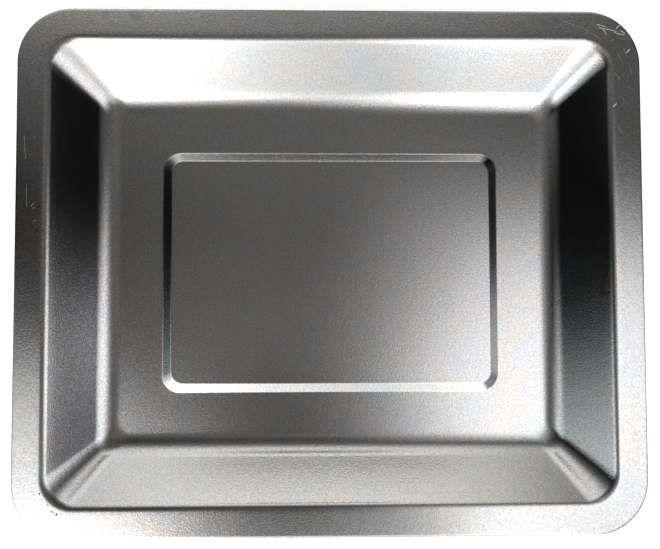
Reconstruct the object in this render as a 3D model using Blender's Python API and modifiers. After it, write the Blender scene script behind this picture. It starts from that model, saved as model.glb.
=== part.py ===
"""Paint roller tray: a shallow pan drawn from one sheet of steel.

The sheet is a flat base with a raised rectangular panel, four sloping walls that meet in tapering
rounded corners, a flat flange all round, and an outer edge folded under as a hem. X is the long
side, Y the short side, +Z up. The origin is under the middle of the pan, on the plane it stands on.
"""

import math

import bmesh
import bpy

MM = 0.001

# Driving dimensions, in millimetres, to the sheet's upper skin.
OVERALL_LENGTH = 300.0
OVERALL_WIDTH = 251.4
SHEET_THICKNESS = 0.6
DEPTH = 22.2  # from the flange down to the base

FLANGE_WIDTH = 14.8  # outer edge to the line where the flange and wall planes meet
END_WALL_RUN = 23.4  # that line to the line where the wall and base planes meet, seen from above
SIDE_WALL_RUN = 24.4  # the same on the long sides
RIM_BEND_RADIUS = 5.5
BASE_FILLET_RADIUS = 16.5

HEM_GAP = 0.6  # clear space inside the folded edge
HEM_RETURN = 5.0  # outer edge to the cut end of the sheet under the flange
EDGE_ROLL_ANGLE = 4.0  # degrees that the flange leans down before it folds
EDGE_ROLL_RADIUS = 10.0

PANEL_LENGTH = 169.4  # at the foot of the raised panel's slope
PANEL_WIDTH = 121.2
PANEL_HEIGHT = 1.9
PANEL_SLOPE_RUN = 5.3
PANEL_BEND_RADIUS = 2.4

# Corner radii seen from above.
OUTER_CORNER = 26.0
RIM_CORNER = 14.5
BASE_CORNER = 8.0
PANEL_FOOT_CORNER = 9.0
PANEL_TOP_CORNER = 5.8

# Straight facets that stand for each bend.
CORNER_FACETS = 10
HEM_FACETS = 8
EDGE_ROLL_FACETS = 2
RIM_BEND_FACETS = 4
BASE_FILLET_FACETS = 5
PANEL_BEND_FACETS = 3

STEEL_COLOUR = (0.56, 0.55, 0.54, 1.0)
STEEL_ROUGHNESS = 0.3
SMOOTH_EDGE_ANGLE = 40.0  # degrees, the sharpest edge that is shaded smooth


def clear_scene():
    for obj in list(bpy.data.objects):
        bpy.data.objects.remove(obj, do_unlink=True)


def bend(apex, start_slope, end_slope, radius, facets):
    """Points (inset, z) of an arc that rounds the bend at apex, between two slopes in radians.

    A slope is the angle that the sheet falls by on its way inwards.
    """
    inset, z = apex
    turn = end_slope - start_slope
    tangent = radius * math.tan(abs(turn) / 2)
    side = math.copysign(1.0, turn)  # +1 where the sheet turns down, -1 where it turns up
    start_inset = inset - tangent * math.cos(start_slope)
    start_z = z + tangent * math.sin(start_slope)
    centre_inset = start_inset - side * radius * math.sin(start_slope)
    centre_z = start_z - side * radius * math.cos(start_slope)
    points = []
    for step in range(facets + 1):
        slope = start_slope + turn * step / facets
        points.append(
            (
                centre_inset + side * radius * math.sin(slope),
                centre_z + side * radius * math.cos(slope),
            )
        )
    return points


def blend(value, start, end):
    """The number that runs in a straight line through the (position, number) pairs start and end."""
    share = (value - start[0]) / (end[0] - start[0])
    return start[1] + share * (end[1] - start[1])


def rounded_rectangle(length, width, corner, z):
    """A ring of points in metres, anticlockwise from above, around a rectangle with round corners."""
    points = []
    for quarter, (side_x, side_y) in enumerate(((1, 1), (-1, 1), (-1, -1), (1, -1))):
        centre_x = side_x * (length / 2 - corner)
        centre_y = side_y * (width / 2 - corner)
        for step in range(CORNER_FACETS + 1):
            angle = math.pi / 2 * (quarter + step / CORNER_FACETS)
            x = centre_x + corner * math.cos(angle)
            y = centre_y + corner * math.sin(angle)
            points.append((x * MM, y * MM, z * MM))
    return points


def hem_profile(flange_z):
    """(inset, z) from the cut end under the flange, round the fold and the edge's gentle roll-off."""
    fold_radius = SHEET_THICKNESS + HEM_GAP / 2
    roll = math.radians(EDGE_ROLL_ANGLE)
    roll_end_z = flange_z - EDGE_ROLL_RADIUS * (1 - math.cos(roll))
    fold_z = roll_end_z - fold_radius * math.cos(roll)
    roll_centre = fold_radius * (1 - math.sin(roll)) + EDGE_ROLL_RADIUS * math.sin(roll)
    profile = [(HEM_RETURN, fold_z - fold_radius)]
    for step in range(HEM_FACETS + 1):
        angle = -math.pi / 2 + (math.pi - roll) * step / HEM_FACETS
        profile.append(
            (fold_radius * (1 - math.cos(angle)), fold_z + fold_radius * math.sin(angle))
        )
    for step in range(1, EDGE_ROLL_FACETS + 1):
        slope = roll * (1 - step / EDGE_ROLL_FACETS)
        drop = EDGE_ROLL_RADIUS * (1 - math.cos(slope))
        profile.append((roll_centre - EDGE_ROLL_RADIUS * math.sin(slope), flange_z - drop))
    return profile


def pan_rings():
    """The rings from the hem's cut end inwards to the foot of the base fillet."""
    base_z = SHEET_THICKNESS
    flange_z = base_z + DEPTH
    wall_foot = FLANGE_WIDTH + END_WALL_RUN
    wall_slope = math.atan2(DEPTH, END_WALL_RUN)
    profile = hem_profile(flange_z)
    profile += bend((FLANGE_WIDTH, flange_z), 0.0, wall_slope, RIM_BEND_RADIUS, RIM_BEND_FACETS)
    profile += bend((wall_foot, base_z), wall_slope, 0.0, BASE_FILLET_RADIUS, BASE_FILLET_FACETS)
    rings = []
    for inset, z in profile:
        if inset < FLANGE_WIDTH:
            corner = blend(inset, (0.0, OUTER_CORNER), (FLANGE_WIDTH, RIM_CORNER))
            side_inset = inset
        else:
            corner = blend(inset, (FLANGE_WIDTH, RIM_CORNER), (wall_foot, BASE_CORNER))
            side_inset = FLANGE_WIDTH + (inset - FLANGE_WIDTH) * SIDE_WALL_RUN / END_WALL_RUN
        length = OVERALL_LENGTH - 2 * inset
        width = OVERALL_WIDTH - 2 * side_inset
        rings.append(rounded_rectangle(length, width, corner, z))
    return rings


def panel_rings():
    """The rings from the foot of the raised panel's slope inwards to the edge of its flat top."""
    base_z = SHEET_THICKNESS
    slope = panel_slope_angle()
    tangent = PANEL_BEND_RADIUS * math.tan(slope / 2)
    foot = (tangent, base_z)
    head = (PANEL_SLOPE_RUN - tangent, base_z + PANEL_HEIGHT)
    profile = bend(foot, 0.0, -slope, PANEL_BEND_RADIUS, PANEL_BEND_FACETS)
    profile += bend(head, -slope, 0.0, PANEL_BEND_RADIUS, PANEL_BEND_FACETS)
    rings = []
    for inset, z in profile:
        corner = blend(inset, (0.0, PANEL_FOOT_CORNER), (PANEL_SLOPE_RUN, PANEL_TOP_CORNER))
        rings.append(rounded_rectangle(PANEL_LENGTH - 2 * inset, PANEL_WIDTH - 2 * inset, corner, z))
    return rings


def panel_slope_angle():
    """The angle of the straight stretch between two equal bends that fill the run and the height.

    Each bend takes radius * tan(angle / 2) at either side of its apex, so the apexes are
    run - 2 * radius * tan(angle / 2) apart; a few rounds of that settle on the angle.
    """
    rounds = 20
    angle = math.atan2(PANEL_HEIGHT, PANEL_SLOPE_RUN)
    for _ in range(rounds):
        apart = PANEL_SLOPE_RUN - 2 * PANEL_BEND_RADIUS * math.tan(angle / 2)
        angle = math.atan2(PANEL_HEIGHT, apart)
    return angle


def loft(name, rings):
    """An open sheet through the rings, outermost first, closed by a flat face inside the last."""
    mesh = bpy.data.meshes.new(name)
    sheet = bmesh.new()
    rows = [[sheet.verts.new(point) for point in ring] for ring in rings]
    count = len(rows[0])
    for outer, inner in zip(rows, rows[1:]):
        for i in range(count):
            j = (i + 1) % count
            sheet.faces.new((outer[i], outer[j], inner[j], inner[i]))
    sheet.faces.new(rows[-1])
    sheet.to_mesh(mesh)
    sheet.free()
    return mesh


def satin_steel():
    material = bpy.data.materials.new("satin_steel")
    material.use_nodes = True
    shader = material.node_tree.nodes["Principled BSDF"]
    shader.inputs["Base Color"].default_value = STEEL_COLOUR
    shader.inputs["Metallic"].default_value = 1.0
    shader.inputs["Roughness"].default_value = STEEL_ROUGHNESS
    return material


def make_tray_pan(collection):
    mesh = loft("tray_pan", pan_rings() + panel_rings())
    mesh.materials.append(satin_steel())
    mesh.shade_smooth()
    mesh.set_sharp_from_angle(angle=math.radians(SMOOTH_EDGE_ANGLE))
    pan = bpy.data.objects.new("tray_pan", mesh)
    collection.objects.link(pan)
    sheet = pan.modifiers.new("sheet", "SOLIDIFY")
    sheet.thickness = SHEET_THICKNESS * MM
    sheet.offset = -1.0
    sheet.use_even_offset = True
    return pan


def main():
    clear_scene()
    collection = bpy.data.collections.new("paint_roller_tray")
    bpy.context.scene.collection.children.link(collection)
    make_tray_pan(collection)


main()
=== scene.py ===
"""Paint roller tray: the finished look of the pressed steel pan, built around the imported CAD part."""

import math

import bmesh
import bpy
from mathutils import Matrix, Vector


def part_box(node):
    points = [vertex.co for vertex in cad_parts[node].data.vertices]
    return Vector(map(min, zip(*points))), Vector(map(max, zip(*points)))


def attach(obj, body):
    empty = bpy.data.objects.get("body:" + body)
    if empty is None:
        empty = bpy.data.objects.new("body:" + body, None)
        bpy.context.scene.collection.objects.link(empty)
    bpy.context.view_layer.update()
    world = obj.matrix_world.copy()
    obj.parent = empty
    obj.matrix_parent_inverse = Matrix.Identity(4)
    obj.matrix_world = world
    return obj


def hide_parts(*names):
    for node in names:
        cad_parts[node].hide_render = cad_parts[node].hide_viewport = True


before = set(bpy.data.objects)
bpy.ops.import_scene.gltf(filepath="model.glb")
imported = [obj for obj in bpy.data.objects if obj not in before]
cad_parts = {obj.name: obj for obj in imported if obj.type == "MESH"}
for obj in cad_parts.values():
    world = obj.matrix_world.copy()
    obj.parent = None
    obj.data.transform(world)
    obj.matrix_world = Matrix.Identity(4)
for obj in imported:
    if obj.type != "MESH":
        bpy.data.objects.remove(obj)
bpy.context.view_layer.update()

MM = 0.001

# The pan's size comes from the CAD part's box. The sheet's own shape is the CAD part's, in millimetres,
# to its upper skin.
PAN_LOW, PAN_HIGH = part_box("tray_pan")
OVERALL_LENGTH = (PAN_HIGH.x - PAN_LOW.x) / MM
OVERALL_WIDTH = (PAN_HIGH.y - PAN_LOW.y) / MM
FLANGE_Z = PAN_HIGH.z / MM
SHEET_THICKNESS = 0.6
BASE_Z = SHEET_THICKNESS

FLANGE_WIDTH = 14.8  # outer edge to the line where the flange and wall planes meet
END_WALL_RUN = 23.4  # that line to the line where the wall and base planes meet, seen from above
SIDE_WALL_RUN = 24.4  # the same on the long sides
RIM_BEND_RADIUS = 5.5
BASE_FILLET_RADIUS = 16.5

HEM_GAP = 0.6  # clear space inside the folded edge
HEM_RETURN = 5.0  # outer edge to the cut end of the sheet under the flange
EDGE_ROLL_ANGLE = 4.0  # degrees that the flange leans down before it folds
EDGE_ROLL_RADIUS = 10.0

PANEL_LENGTH = 169.4  # at the foot of the raised panel's slope
PANEL_WIDTH = 121.2
PANEL_HEIGHT = 1.9
PANEL_SLOPE_RUN = 5.3
PANEL_BEND_RADIUS = 2.4

# Corner radii seen from above.
OUTER_CORNER = 26.0
RIM_CORNER = 14.5
BASE_CORNER = 8.0
PANEL_FOOT_CORNER = 9.0
PANEL_TOP_CORNER = 5.8

# Facets that stand for each bend and split each flat stretch.
CORNER_FACETS = 24
SIDE_FACETS = 40
HEM_FACETS = 14
EDGE_ROLL_FACETS = 6
RIM_BEND_FACETS = 10
WALL_FACETS = 6
BASE_FILLET_FACETS = 16
PANEL_BEND_FACETS = 8
FLAT_FACETS = 6

SLOPE_ROUNDS = 20  # rounds that settle on the angle of the panel's slope


# ---- the pan -------------------------------------------------------------------------------------


def bend(apex, start_slope, end_slope, radius, facets):
    """Points (inset, z) of an arc that rounds the bend at apex, between two slopes in radians.

    A slope is the angle that the sheet falls by on its way inwards.
    """
    inset, z = apex
    turn = end_slope - start_slope
    tangent = radius * math.tan(abs(turn) / 2)
    side = math.copysign(1.0, turn)  # +1 where the sheet turns down, -1 where it turns up
    start_inset = inset - tangent * math.cos(start_slope)
    start_z = z + tangent * math.sin(start_slope)
    centre_inset = start_inset - side * radius * math.sin(start_slope)
    centre_z = start_z - side * radius * math.cos(start_slope)
    points = []
    for step in range(facets + 1):
        slope = start_slope + turn * step / facets
        points.append(
            (
                centre_inset + side * radius * math.sin(slope),
                centre_z + side * radius * math.cos(slope),
            )
        )
    return points


def straight(start, end, facets):
    """The points strictly between start and end that split the stretch into equal facets."""
    between = []
    for step in range(1, facets):
        share = step / facets
        between.append(tuple(a + share * (b - a) for a, b in zip(start, end)))
    return between


def blend(value, start, end):
    """The number that runs in a straight line through the (position, number) pairs start and end."""
    share = (value - start[0]) / (end[0] - start[0])
    return start[1] + share * (end[1] - start[1])


def rounded_rectangle(length, width, corner, z):
    """A ring of points in metres, anticlockwise from above, around a rectangle with round corners."""
    points = []
    for quarter, (side_x, side_y) in enumerate(((1, 1), (-1, 1), (-1, -1), (1, -1))):
        centre_x = side_x * (length / 2 - corner)
        centre_y = side_y * (width / 2 - corner)
        for step in range(CORNER_FACETS + 1):
            angle = math.pi / 2 * (quarter + step / CORNER_FACETS)
            x = centre_x + corner * math.cos(angle)
            y = centre_y + corner * math.sin(angle)
            points.append(Vector((x, y, z)) * MM)
    ring = []
    corner_points = CORNER_FACETS + 1
    for i, point in enumerate(points):
        ring.append(point)
        if i % corner_points == corner_points - 1:
            after = points[(i + 1) % len(points)]
            ring += [point.lerp(after, step / SIDE_FACETS) for step in range(1, SIDE_FACETS)]
    return ring


def hem_profile():
    """(inset, z) from the cut end under the flange, round the fold and the edge's gentle roll-off."""
    fold_radius = SHEET_THICKNESS + HEM_GAP / 2
    roll = math.radians(EDGE_ROLL_ANGLE)
    roll_end_z = FLANGE_Z - EDGE_ROLL_RADIUS * (1 - math.cos(roll))
    fold_z = roll_end_z - fold_radius * math.cos(roll)
    roll_centre = fold_radius * (1 - math.sin(roll)) + EDGE_ROLL_RADIUS * math.sin(roll)
    profile = [(HEM_RETURN, fold_z - fold_radius)]
    for step in range(HEM_FACETS + 1):
        angle = -math.pi / 2 + (math.pi - roll) * step / HEM_FACETS
        profile.append(
            (fold_radius * (1 - math.cos(angle)), fold_z + fold_radius * math.sin(angle))
        )
    for step in range(1, EDGE_ROLL_FACETS + 1):
        slope = roll * (1 - step / EDGE_ROLL_FACETS)
        drop = EDGE_ROLL_RADIUS * (1 - math.cos(slope))
        profile.append((roll_centre - EDGE_ROLL_RADIUS * math.sin(slope), FLANGE_Z - drop))
    return profile


def pan_rings():
    """The rings from the hem's cut end inwards to the foot of the base fillet."""
    wall_foot = FLANGE_WIDTH + END_WALL_RUN
    wall_slope = math.atan2(FLANGE_Z - BASE_Z, END_WALL_RUN)
    hem = hem_profile()
    rim = bend((FLANGE_WIDTH, FLANGE_Z), 0.0, wall_slope, RIM_BEND_RADIUS, RIM_BEND_FACETS)
    fillet = bend((wall_foot, BASE_Z), wall_slope, 0.0, BASE_FILLET_RADIUS, BASE_FILLET_FACETS)
    profile = hem + straight(hem[-1], rim[0], FLAT_FACETS) + rim
    profile += straight(rim[-1], fillet[0], WALL_FACETS) + fillet
    rings = []
    for inset, z in profile:
        if inset < FLANGE_WIDTH:
            corner = blend(inset, (0.0, OUTER_CORNER), (FLANGE_WIDTH, RIM_CORNER))
            side_inset = inset
        else:
            corner = blend(inset, (FLANGE_WIDTH, RIM_CORNER), (wall_foot, BASE_CORNER))
            side_inset = FLANGE_WIDTH + (inset - FLANGE_WIDTH) * SIDE_WALL_RUN / END_WALL_RUN
        length = OVERALL_LENGTH - 2 * inset
        width = OVERALL_WIDTH - 2 * side_inset
        rings.append(rounded_rectangle(length, width, corner, z))
    return rings


def panel_slope_angle():
    """The angle of the straight stretch between two equal bends that fill the run and the height.

    Each bend takes radius * tan(angle / 2) at either side of its apex, so the apexes are
    run - 2 * radius * tan(angle / 2) apart; a few rounds of that settle on the angle.
    """
    angle = math.atan2(PANEL_HEIGHT, PANEL_SLOPE_RUN)
    for _ in range(SLOPE_ROUNDS):
        apart = PANEL_SLOPE_RUN - 2 * PANEL_BEND_RADIUS * math.tan(angle / 2)
        angle = math.atan2(PANEL_HEIGHT, apart)
    return angle


def panel_rings():
    """The rings from the foot of the raised panel's slope inwards to the edge of its flat top."""
    slope = panel_slope_angle()
    tangent = PANEL_BEND_RADIUS * math.tan(slope / 2)
    foot = (tangent, BASE_Z)
    head = (PANEL_SLOPE_RUN - tangent, BASE_Z + PANEL_HEIGHT)
    profile = bend(foot, 0.0, -slope, PANEL_BEND_RADIUS, PANEL_BEND_FACETS)
    profile += bend(head, -slope, 0.0, PANEL_BEND_RADIUS, PANEL_BEND_FACETS)
    rings = []
    for inset, z in profile:
        corner = blend(inset, (0.0, PANEL_FOOT_CORNER), (PANEL_SLOPE_RUN, PANEL_TOP_CORNER))
        rings.append(rounded_rectangle(PANEL_LENGTH - 2 * inset, PANEL_WIDTH - 2 * inset, corner, z))
    return rings


def between_rings(outer, inner, facets):
    """Rings that split the flat band between two rings into equal steps."""
    return [
        [a.lerp(b, step / facets) for a, b in zip(outer, inner)] for step in range(1, facets)
    ]


def loft(name, rings):
    """An open sheet through the rings, outermost first, closed by a flat face inside the last."""
    mesh = bpy.data.meshes.new(name)
    sheet = bmesh.new()
    rows = [[sheet.verts.new(point) for point in ring] for ring in rings]
    count = len(rows[0])
    for outer, inner in zip(rows, rows[1:]):
        for i in range(count):
            j = (i + 1) % count
            sheet.faces.new((outer[i], outer[j], inner[j], inner[i]))
    sheet.faces.new(rows[-1])
    sheet.to_mesh(mesh)
    sheet.free()
    return mesh


def make_pan(material):
    outside, panel = pan_rings(), panel_rings()
    base = between_rings(outside[-1], panel[0], FLAT_FACETS)
    mesh = loft("pressed_pan", outside + base + panel)
    mesh.materials.append(material)
    mesh.shade_smooth()
    pan = bpy.data.objects.new("pressed_pan", mesh)
    bpy.context.scene.collection.objects.link(pan)
    sheet = pan.modifiers.new("sheet", "SOLIDIFY")
    sheet.thickness = SHEET_THICKNESS * MM
    sheet.offset = -1.0
    sheet.use_even_offset = True
    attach(pan, "root")
    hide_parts("tray_pan")


# ---- shader building -----------------------------------------------------------------------------


class Shader:
    """Adds nodes to a shader tree. An argument is a number, a colour or another node's output."""

    def __init__(self, tree):
        self.tree = tree

    def node(self, kind, inputs=None, **settings):
        node = self.tree.nodes.new(kind)
        for name, value in settings.items():
            setattr(node, name, value)
        for name, value in (inputs or {}).items():
            self.feed(node.inputs[name], value)
        return node

    def feed(self, socket, value):
        if isinstance(value, bpy.types.NodeSocket):
            self.tree.links.new(value, socket)
        else:
            socket.default_value = value

    def math(self, operation, first, second=0.0, clamp=False):
        node = self.node("ShaderNodeMath", operation=operation, use_clamp=clamp)
        self.feed(node.inputs[0], first)
        self.feed(node.inputs[1], second)
        return node.outputs[0]

    def vector(self, operation, first, second):
        node = self.node("ShaderNodeVectorMath", operation=operation)
        self.feed(node.inputs[0], first)
        self.feed(node.inputs[1], second)
        gives_number = operation in ("DISTANCE", "DOT_PRODUCT")
        return node.outputs["Value" if gives_number else "Vector"]

    def scale(self, vector, factor):
        node = self.node("ShaderNodeVectorMath", operation="SCALE")
        self.feed(node.inputs[0], vector)
        self.feed(node.inputs["Scale"], factor)
        return node.outputs["Vector"]

    def mix(self, share, first, second):
        """A colour. The mix node has its colours under the same names as its numbers and vectors."""
        node = self.node("ShaderNodeMix", data_type="RGBA")
        first_colour, second_colour = [s for s in node.inputs if s.type == "RGBA"]
        self.feed(node.inputs["Factor"], share)
        self.feed(first_colour, first)
        self.feed(second_colour, second)
        return next(s for s in node.outputs if s.type == "RGBA")


# ---- materials -----------------------------------------------------------------------------------

# Slow drifts of tint and brightness, as rolled sheet shows, under a fine even grain. Each noise is
# its blots' size in millimetres, detail, roughness, and a shift in metres that keeps it apart from
# the others.
WARM_NOISE = (16.0, 2.0, 0.5, (0.0, 0.0, 0.0))
GREEN_NOISE = (13.0, 2.0, 0.5, (0.3, 0.1, 0.2))
CLOUD_NOISE = (7.0, 4.0, 0.6, (0.1, 0.4, 0.3))
GRAIN_NOISE = (0.55, 1.0, 0.7, (0.0, 0.0, 0.0))
SPECKLE_NOISE = (0.8, 1.0, 0.6, (0.2, 0.5, 0.1))

# The noise values between which each comes in.
WARM_FADE = (0.35, 0.65)
GREEN_FADE = (0.5, 0.75)
SPECKLE_FADE = (0.3, 0.7)
SMUDGE_FADE = (0.45, 0.6)

COOL_STEEL = (0.545, 0.55, 0.56, 1.0)
WARM_STEEL = (0.575, 0.55, 0.53, 1.0)
GREEN_STEEL = (0.54, 0.565, 0.545, 1.0)
SCUFF_COLOUR = (0.9, 0.9, 0.9, 1.0)

STEEL_SHADE = 0.88  # where the speckle is darkest
SPECKLE_GAIN = 0.24  # added to that where it is lightest
SMUDGE_LOSS = 0.3  # the share of the light that each mark takes
SPECK_LOSS = 0.93
FAINT_SHARE = 0.35  # how strong a faint scratch is beside a plain one
SCUFF_METAL_LOSS = 0.55

STEEL_ROUGHNESS = 0.09  # where it is least
CLOUD_ROUGHNESS = 0.06
SCUFF_ROUGHNESS = 0.3
GRAIN_DEPTH = 0.04  # millimetres
WAVE_DEPTH = 0.02

# Marks on the flange, in millimetres from the pan's middle as seen from above.
SCRATCHES = (
    ((128.9, 119.1), (133.3, 118.2)),
    ((130.3, 117.6), (134.7, 116.7)),
    ((134.7, 116.7), (138.6, 115.7)),
    ((131.8, 117.2), (133.7, 114.2)),
    ((138.6, 117.2), (140.2, 118.8)),
    ((137.6, 115.2), (142.5, 113.8)),
    ((140.6, 116.2), (142.6, 114.8)),
    ((143.3, 105.4), (144.8, 106.9)),
    ((136.4, 78.9), (137.9, 80.3)),
)
FAINT_SCRATCHES = (
    ((112.4, 121.0), (118.6, 118.4)),
    ((126.3, 120.6), (128.2, 117.9)),
    ((142.0, 107.6), (143.1, 104.2)),
    ((138.8, 104.9), (140.9, 101.4)),
    ((144.6, 99.0), (145.7, 94.8)),
    ((137.4, 95.2), (140.0, 91.9)),
    ((143.9, 88.6), (146.0, 87.1)),
    ((139.6, 84.0), (142.9, 80.7)),
    ((138.1, 71.0), (140.0, 66.2)),
    ((-145.9, 64.1), (-145.2, 52.7)),
    ((-144.6, 41.0), (-144.2, 30.3)),
    ((120.0, 118.6), (130.7, 112.2)),
    ((121.9, 114.1), (123.9, 114.7)),
    ((135.6, 110.8), (137.1, 112.3)),
    ((139.5, 112.3), (146.6, 112.0)),
    ((-142.4, 30.1), (-140.6, 32.0)),
    ((-141.5, 28.8), (-140.4, 29.6)),
    ((-141.0, 23.2), (-139.6, 23.6)),
)
DARK_SPECKS = (
    ((-138.7, 30.1), 0.75),
    ((-128.3, -113.7), 0.9),
    ((-130.6, -112.3), 0.55),
    ((-132.5, -109.1), 0.5),
    ((-136.3, -104.0), 0.6),
    ((-129.7, -112.8), 0.5),
    ((-136.6, 18.7), 0.5),
)
SMUDGES = (
    ((102.5, 120.4), 1.9),
    ((109.3, 121.0), 1.9),
    ((-108.2, 122.5), 3.0),
    ((-93.9, 122.1), 4.0),
)
SCRATCH_WIDTH = 0.286  # half of it, to where the scratch has faded
FAINT_SCRATCH_WIDTH = 0.22
SCRATCH_CORE = 0.2  # the share of the half-width that shows in full
SPOT_CORE = 0.3
WOBBLE_BLOT = 1.2  # the marks' outlines wander in waves of this size
WOBBLE_REACH = 0.7

MIDDLE_GREY = (0.5, 0.5, 0.5)  # the mean of a noise's colour
WITHOUT_Z = (1.0, 1.0, 0.0)


def noise(nodes, place, size, detail, roughness, shift):
    """Noise from 0 to 1 whose blots are about size millimetres across."""
    shifted = nodes.vector("ADD", place, shift)
    texture = nodes.node("ShaderNodeTexNoise", {"Vector": shifted})
    texture.inputs["Scale"].default_value = 1.0 / (size * MM)
    texture.inputs["Detail"].default_value = detail
    texture.inputs["Roughness"].default_value = roughness
    return texture.outputs["Fac"]


def wandering_place(nodes, place):
    """The point's place seen from above, in metres, put off a little so that outlines wander."""
    texture = nodes.node("ShaderNodeTexNoise", {"Vector": place})
    texture.inputs["Scale"].default_value = 1.0 / (WOBBLE_BLOT * MM)
    either_way = nodes.vector("SUBTRACT", texture.outputs["Color"], MIDDLE_GREY)
    wobble = nodes.scale(either_way, WOBBLE_REACH * MM)
    return nodes.vector("MULTIPLY", nodes.vector("ADD", place, wobble), WITHOUT_Z)


def fade(nodes, value, start, end):
    """0 where value is at start and 1 where it is at end, with a smooth change between."""
    ranged = nodes.node("ShaderNodeMapRange", {"Value": value}, interpolation_type="SMOOTHSTEP")
    ranged.inputs["From Min"].default_value = start
    ranged.inputs["From Max"].default_value = end
    return ranged.outputs["Result"]


def stroke(nodes, place, start, end, half_width):
    """1 along a straight scratch, fading to 0 at half_width millimetres from it."""
    start, end = Vector((*start, 0.0)) * MM, Vector((*end, 0.0)) * MM
    run = end - start
    from_start = nodes.vector("SUBTRACT", place, start)
    share = nodes.vector("DOT_PRODUCT", from_start, run / run.length_squared)
    along = nodes.math("MULTIPLY", share, 1.0, clamp=True)
    apart = nodes.vector("DISTANCE", from_start, nodes.scale(run, along))
    return fade(nodes, apart, half_width * MM, half_width * MM * SCRATCH_CORE)


def spot_mark(nodes, place, middle, radius):
    """1 in the middle of a round mark, fading to 0 at radius millimetres."""
    apart = nodes.vector("DISTANCE", place, Vector((*middle, 0.0)) * MM)
    return fade(nodes, apart, radius * MM, radius * MM * SPOT_CORE)


def largest(nodes, values):
    """The largest of several numbers."""
    result = values[0]
    for value in values[1:]:
        result = nodes.math("MAXIMUM", result, value)
    return result


def less(nodes, value, mark, loss):
    """value, less the share of it that a mark from 0 to 1 takes away."""
    left = nodes.math("SUBTRACT", 1.0, nodes.math("MULTIPLY", mark, loss))
    return nodes.math("MULTIPLY", value, left)


def bumps(nodes, height, depth, **normal):
    """The surface's normal where height, from 0 to 1, stands up to depth millimetres high."""
    bump = nodes.node("ShaderNodeBump", {"Height": height, **normal})
    bump.inputs["Strength"].default_value = 1.0
    bump.inputs["Distance"].default_value = depth * MM
    return bump.outputs["Normal"]


def satin_steel():
    material = bpy.data.materials.new("satin_steel")
    material.use_nodes = True
    shader = material.node_tree.nodes["Principled BSDF"]
    nodes = Shader(material.node_tree)
    place = nodes.node("ShaderNodeTexCoord").outputs["Object"]

    warm = noise(nodes, place, *WARM_NOISE)
    green = noise(nodes, place, *GREEN_NOISE)
    cloud = noise(nodes, place, *CLOUD_NOISE)
    grain = noise(nodes, place, *GRAIN_NOISE)
    speckle = noise(nodes, place, *SPECKLE_NOISE)
    colour = nodes.mix(fade(nodes, warm, *WARM_FADE), COOL_STEEL, WARM_STEEL)
    colour = nodes.mix(fade(nodes, green, *GREEN_FADE), colour, GREEN_STEEL)

    rough = wandering_place(nodes, place)
    scratches = [stroke(nodes, rough, *ends, SCRATCH_WIDTH) for ends in SCRATCHES]
    faint = [stroke(nodes, rough, *ends, FAINT_SCRATCH_WIDTH) for ends in FAINT_SCRATCHES]
    faint = nodes.math("MULTIPLY", largest(nodes, faint), FAINT_SHARE)
    scuffs = nodes.math("MAXIMUM", largest(nodes, scratches), faint)
    specks = largest(nodes, [spot_mark(nodes, rough, *spot) for spot in DARK_SPECKS])
    smudges = largest(nodes, [spot_mark(nodes, rough, *spot) for spot in SMUDGES])
    smudge_grain = nodes.math("MULTIPLY", smudges, fade(nodes, speckle, *SMUDGE_FADE))

    shade = nodes.math("MULTIPLY", fade(nodes, speckle, *SPECKLE_FADE), SPECKLE_GAIN)
    shade = nodes.math("ADD", shade, STEEL_SHADE)
    shade = less(nodes, shade, smudge_grain, SMUDGE_LOSS)
    shade = less(nodes, shade, specks, SPECK_LOSS)
    colour = nodes.mix(scuffs, nodes.scale(colour, shade), SCUFF_COLOUR)
    nodes.feed(shader.inputs["Base Color"], colour)
    nodes.feed(shader.inputs["Metallic"], less(nodes, 1.0, scuffs, SCUFF_METAL_LOSS))

    roughness = nodes.math("MULTIPLY", cloud, CLOUD_ROUGHNESS)
    roughness = nodes.math("ADD", roughness, STEEL_ROUGHNESS)
    scuffed = nodes.math("MULTIPLY", scuffs, SCUFF_ROUGHNESS)
    nodes.feed(shader.inputs["Roughness"], nodes.math("ADD", roughness, scuffed))

    grained = bumps(nodes, grain, GRAIN_DEPTH)
    nodes.feed(shader.inputs["Normal"], bumps(nodes, cloud, WAVE_DEPTH, Normal=grained))
    return material


FLOOR_COLOUR = (0.6, 0.6, 0.6, 1.0)
FLOOR_ROUGHNESS = 0.9
FLOOR_GLOW = 0.75  # the floor is lit from behind, so it shows almost white
WHITE = (1.0, 1.0, 1.0, 1.0)
BLACK = (0.0, 0.0, 0.0, 1.0)


def pale_floor_material():
    material = bpy.data.materials.new("pale_floor")
    material.use_nodes = True
    shader = material.node_tree.nodes["Principled BSDF"]
    shader.inputs["Base Color"].default_value = FLOOR_COLOUR
    shader.inputs["Roughness"].default_value = FLOOR_ROUGHNESS
    shader.inputs["Emission Color"].default_value = WHITE
    shader.inputs["Emission Strength"].default_value = FLOOR_GLOW
    return material


# ---- the stage -----------------------------------------------------------------------------------

# The camera stands a little off the pan's middle and leans a little: tilts in degrees about the
# pan's X, Y and Z axes, and the flange's middle as the camera sees it, in millimetres.
CAMERA_TILT = (-2.52, 1.30, 0.14)
FLANGE_FROM_CAMERA = (0.95, 2.29, -356.2)
FOCAL_LENGTH = 40.9
SENSOR_WIDTH = 36.0
NEAREST_SEEN = 10.0


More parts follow.
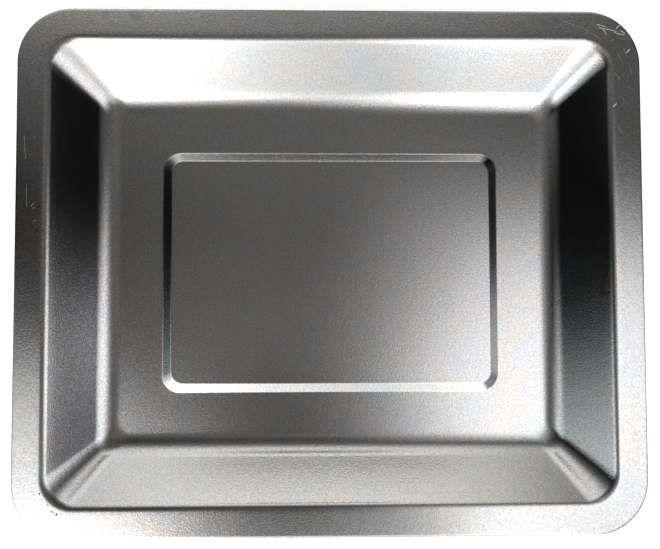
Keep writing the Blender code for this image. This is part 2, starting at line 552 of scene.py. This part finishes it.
def make_camera():
    about_x, about_y, about_z = (
        Matrix.Rotation(math.radians(tilt), 3, axis) for tilt, axis in zip(CAMERA_TILT, "XYZ")
    )
    back = (about_x @ about_y @ about_z).transposed()
    place = back @ -Vector(FLANGE_FROM_CAMERA) * MM + Vector((0.0, 0.0, PAN_HIGH.z))
    data = bpy.data.cameras.new("camera")
    data.lens = FOCAL_LENGTH
    data.sensor_width = SENSOR_WIDTH
    data.clip_start = NEAREST_SEEN * MM
    camera = bpy.data.objects.new("camera", data)
    camera.matrix_world = Matrix.Translation(place) @ back.to_4x4()
    bpy.context.scene.collection.objects.link(camera)
    bpy.context.scene.camera = camera


FLOOR_SIZE = 8.0  # metres
FLOOR_DROP = 0.3  # millimetres below the pan, so that the two don't touch


def make_floor():
    bpy.ops.mesh.primitive_plane_add(size=FLOOR_SIZE, location=(0.0, 0.0, -FLOOR_DROP * MM))
    floor = bpy.context.object
    floor.name = "floor"
    floor.data.materials.append(pale_floor_material())


# Soft boxes round the pan, each facing its middle: degrees anticlockwise from +X, degrees down from
# overhead, distance in metres, half-widths as seen from the pan in degrees, brightness and colour.
SOFT_BOXES = {
    "back_card": (94, 61.6, 0.67, 31.7, 28.7, 1.2, (1.0, 0.99, 0.97)),
    "front_left": (-117, 66, 1.0, 26, 45, 1.07, (1.0, 0.96, 0.96)),
    "front_right": (-68.5, 67.5, 1.29, 11, 50, 1.3, (0.96, 0.98, 1.0)),
    "high_right": (-17, 33, 0.395, 21, 25.5, 0.43, (0.97, 0.95, 1.0)),
    "high_left": (-133, 58, 0.81, 30.5, 30.5, 1.12, (0.9, 0.97, 1.0)),
    "low_right": (-22, 82.6, 0.38, 25.3, 15.8, 0.55, (0.85, 0.83, 1.0)),
    "low_left": (-156, 81, 0.38, 33, 16, 0.08, (0.7, 0.9, 1.0)),
    "low_front": (-89, 51, 0.86, 10.7, 22.2, 3.4, (0.97, 1.0, 1.0)),
    "side_right": (-31.6, 37.5, 0.49, 22.7, 20.7, 1.22, (0.98, 0.99, 1.0)),
    "top_back": (85, 28, 0.75, 52, 16, 0.12, (0.98, 1.0, 0.98)),
    "overhead": (90, 3, 0.75, 26, 22, 0.02, (1.0, 1.0, 1.0)),
    "far_left": (-87, 36, 2.5, 28, 48, 0.19, (1.0, 0.95, 0.91)),
    "corner_left": (-157, 41, 0.4, 6, 7, 0.3, (1.0, 1.0, 1.0)),
    "slope_right": (-9, 68.5, 0.37, 8, 2.4, 0.75, (1.0, 1.0, 1.0)),
    "flute_right": (-66, 46, 0.7, 10, 13, 1.3, (1.0, 1.0, 1.0)),
    "flute_left": (-122, 47, 0.7, 16, 14, 1.7, (1.0, 1.0, 1.0)),
}
# Grey screens between the pan and the boxes: the same terms, and the share of light each takes.
SCREENS = {
    "front_screen": (-89, 45.4, 0.347, 19, 31.6, 0.70),
    "back_screen": (92, 48, 0.36, 14, 4.5, 0.9),
    "low_screen": (90, 69.3, 0.196, 31.5, 6.2, 0.93),
}
FADE_REACH = 1.3  # a box or screen goes on to this many of its half-widths, fading out
PAN_MIDDLE = Vector((0.0, 0.0, 4.2)) * MM
SHEET_MIDDLE = (0.5, 0.5, 0.0)


def direction_of(azimuth, down):
    azimuth, down = math.radians(azimuth), math.radians(down)
    return Vector(
        (math.sin(down) * math.cos(azimuth), math.sin(down) * math.sin(azimuth), math.cos(down))
    )


def facing_pan(azimuth, down, distance):
    """Where something stands that looks back at the pan, with its own X level."""
    outward = direction_of(azimuth, down)
    level = direction_of(azimuth + 90, 90)
    up = outward.cross(level)
    turn = Matrix((level, up, outward)).transposed().to_4x4()
    return Matrix.Translation(PAN_MIDDLE + outward * distance) @ turn


def full_size(distance, half_angle):
    """The width, with its faded edges, of a sheet whose half-width fills half_angle degrees."""
    return 2 * FADE_REACH * distance * math.tan(math.radians(half_angle))


def soft_edges(nodes, place):
    """1 over the middle of a sheet, fading to 0 at its edges. place runs from 0 to 1 across it."""
    across = nodes.scale(nodes.vector("SUBTRACT", place, SHEET_MIDDLE), 2 * FADE_REACH)
    squared = nodes.vector("MULTIPLY", across, across)
    falling = nodes.vector("MULTIPLY", squared, squared)
    total = nodes.vector("DOT_PRODUCT", falling, WITHOUT_Z)
    return nodes.math("EXPONENT", nodes.math("MULTIPLY", total, -1.0))


def make_soft_box(name, azimuth, down, distance, half_width, half_height, brightness, colour):
    light = bpy.data.lights.new(name, "AREA")
    light.shape = "RECTANGLE"
    light.size = full_size(distance, half_width)
    light.size_y = full_size(distance, half_height)
    light.color = colour
    light.energy = brightness * math.pi * light.size * light.size_y
    light.use_nodes = True
    nodes = Shader(light.node_tree)
    place = nodes.node("ShaderNodeNewGeometry").outputs["Parametric"]
    nodes.feed(light.node_tree.nodes["Emission"].inputs["Strength"], soft_edges(nodes, place))
    box = bpy.data.objects.new(name, light)
    box.matrix_world = facing_pan(azimuth, down, distance)
    box.visible_camera = False
    bpy.context.scene.collection.objects.link(box)


def make_screen(name, azimuth, down, distance, half_width, half_height, share):
    """A grey gauze, thinning to its edges, that takes a share of the light passing through it."""
    material = bpy.data.materials.new("grey_gauze")
    material.use_nodes = True
    tree = material.node_tree
    nodes = Shader(tree)
    place = nodes.node("ShaderNodeTexCoord").outputs["Generated"]
    taken = nodes.math("MULTIPLY", soft_edges(nodes, place), share)
    left = nodes.mix(taken, WHITE, BLACK)
    gauze = nodes.node("ShaderNodeBsdfTransparent", {"Color": left})
    tree.links.new(gauze.outputs[0], tree.nodes["Material Output"].inputs["Surface"])
    bpy.ops.mesh.primitive_plane_add(size=1.0)
    screen = bpy.context.object
    screen.name = name
    size = Vector((full_size(distance, half_width), full_size(distance, half_height), 1.0))
    screen.matrix_world = facing_pan(azimuth, down, distance) @ Matrix.Diagonal(size).to_4x4()
    screen.data.materials.append(material)
    screen.visible_camera = False


UNLIT = (0.004, 0.004, 0.004, 1.0)
BACKDROP = (0.77, 0.77, 0.77, 1.0)  # as pale as the far end of the floor


def make_world():
    """A plain pale backdrop to look at, which gives almost no light."""
    world = bpy.data.worlds.new("studio")
    world.use_nodes = True
    tree = world.node_tree
    nodes = Shader(tree)
    unlit = nodes.node("ShaderNodeBackground", {"Color": UNLIT})
    backdrop = nodes.node("ShaderNodeBackground", {"Color": BACKDROP})
    seen = nodes.node("ShaderNodeLightPath").outputs["Is Camera Ray"]
    shown = nodes.node("ShaderNodeMixShader", {"Fac": seen})
    tree.links.new(unlit.outputs[0], shown.inputs[1])
    tree.links.new(backdrop.outputs[0], shown.inputs[2])
    tree.links.new(shown.outputs[0], tree.nodes["World Output"].inputs["Surface"])
    bpy.context.scene.world = world


def make_lights():
    for name, terms in SOFT_BOXES.items():
        make_soft_box(name, *terms)
    for name, terms in SCREENS.items():
        make_screen(name, *terms)


bpy.context.scene.view_settings.view_transform = "Standard"
make_camera()
make_world()
make_lights()
make_floor()
make_pan(satin_steel())
